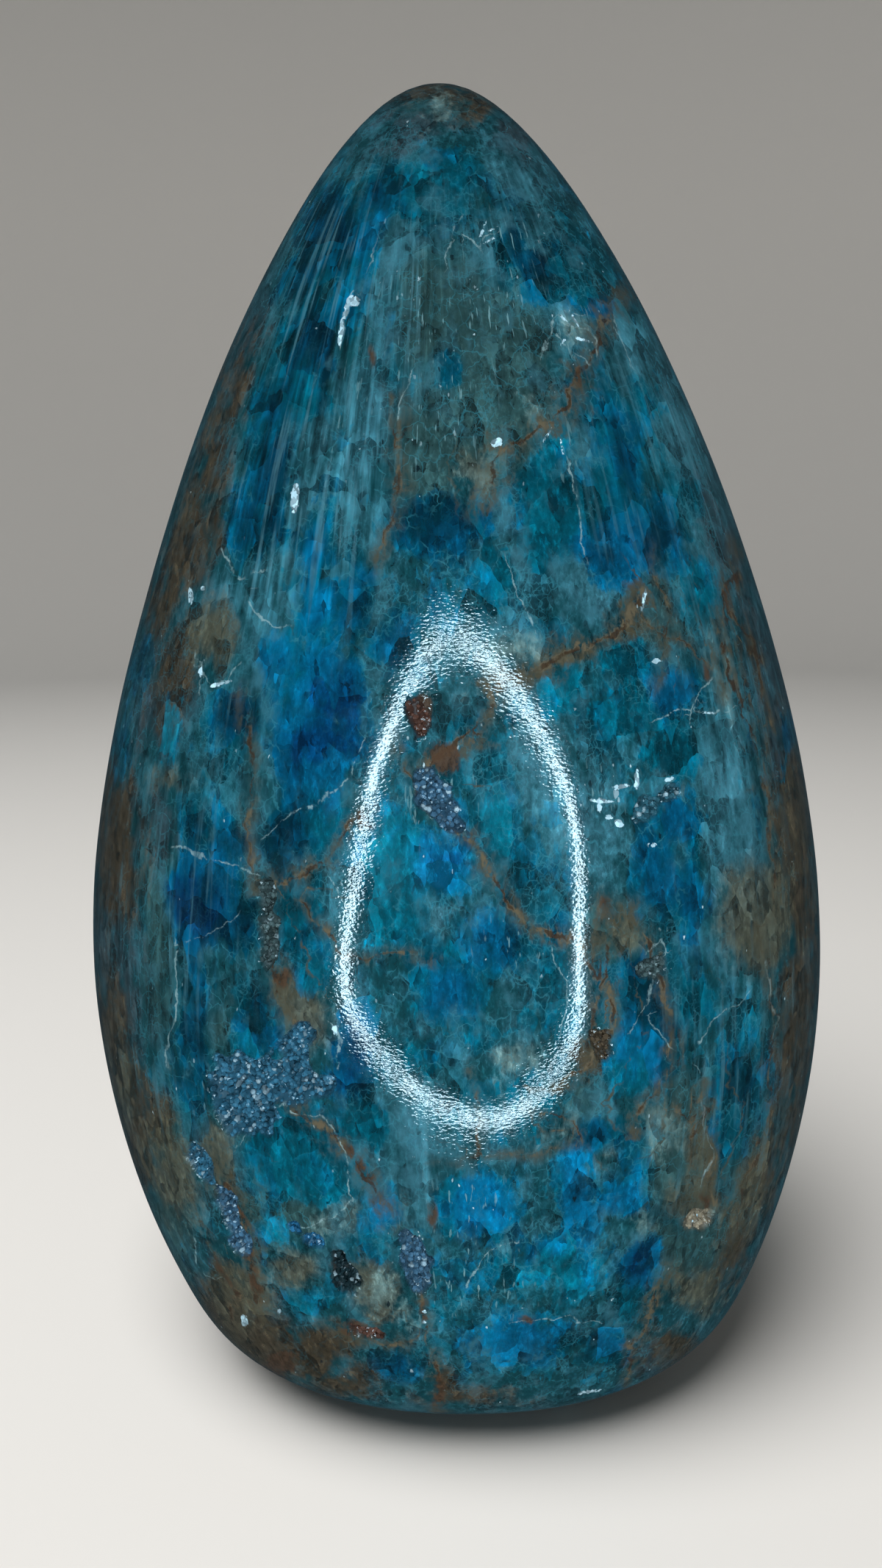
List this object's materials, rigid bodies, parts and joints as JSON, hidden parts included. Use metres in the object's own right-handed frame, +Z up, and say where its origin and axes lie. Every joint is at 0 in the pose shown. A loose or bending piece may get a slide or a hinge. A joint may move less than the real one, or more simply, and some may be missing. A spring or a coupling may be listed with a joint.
{
  "type": "polished blue apatite freeform",
  "caption": "Standing egg-shaped freeform of polished blue apatite on a flat ground base, with small broken pockets lined with crystals.",
  "frame": {"origin": "centre of the flat base, on the surface the stone stands on", "axes": "+Z up to the tip, +X to the right and -Y towards the viewer of the pictured face"},
  "size_m": [0.0878, 0.0703, 0.15],
  "materials": {
    "apatite": "polished"
  },
  "bodies": {
    "root": {"apatite_freeform": "apatite"}
  },
  "joints": []
}
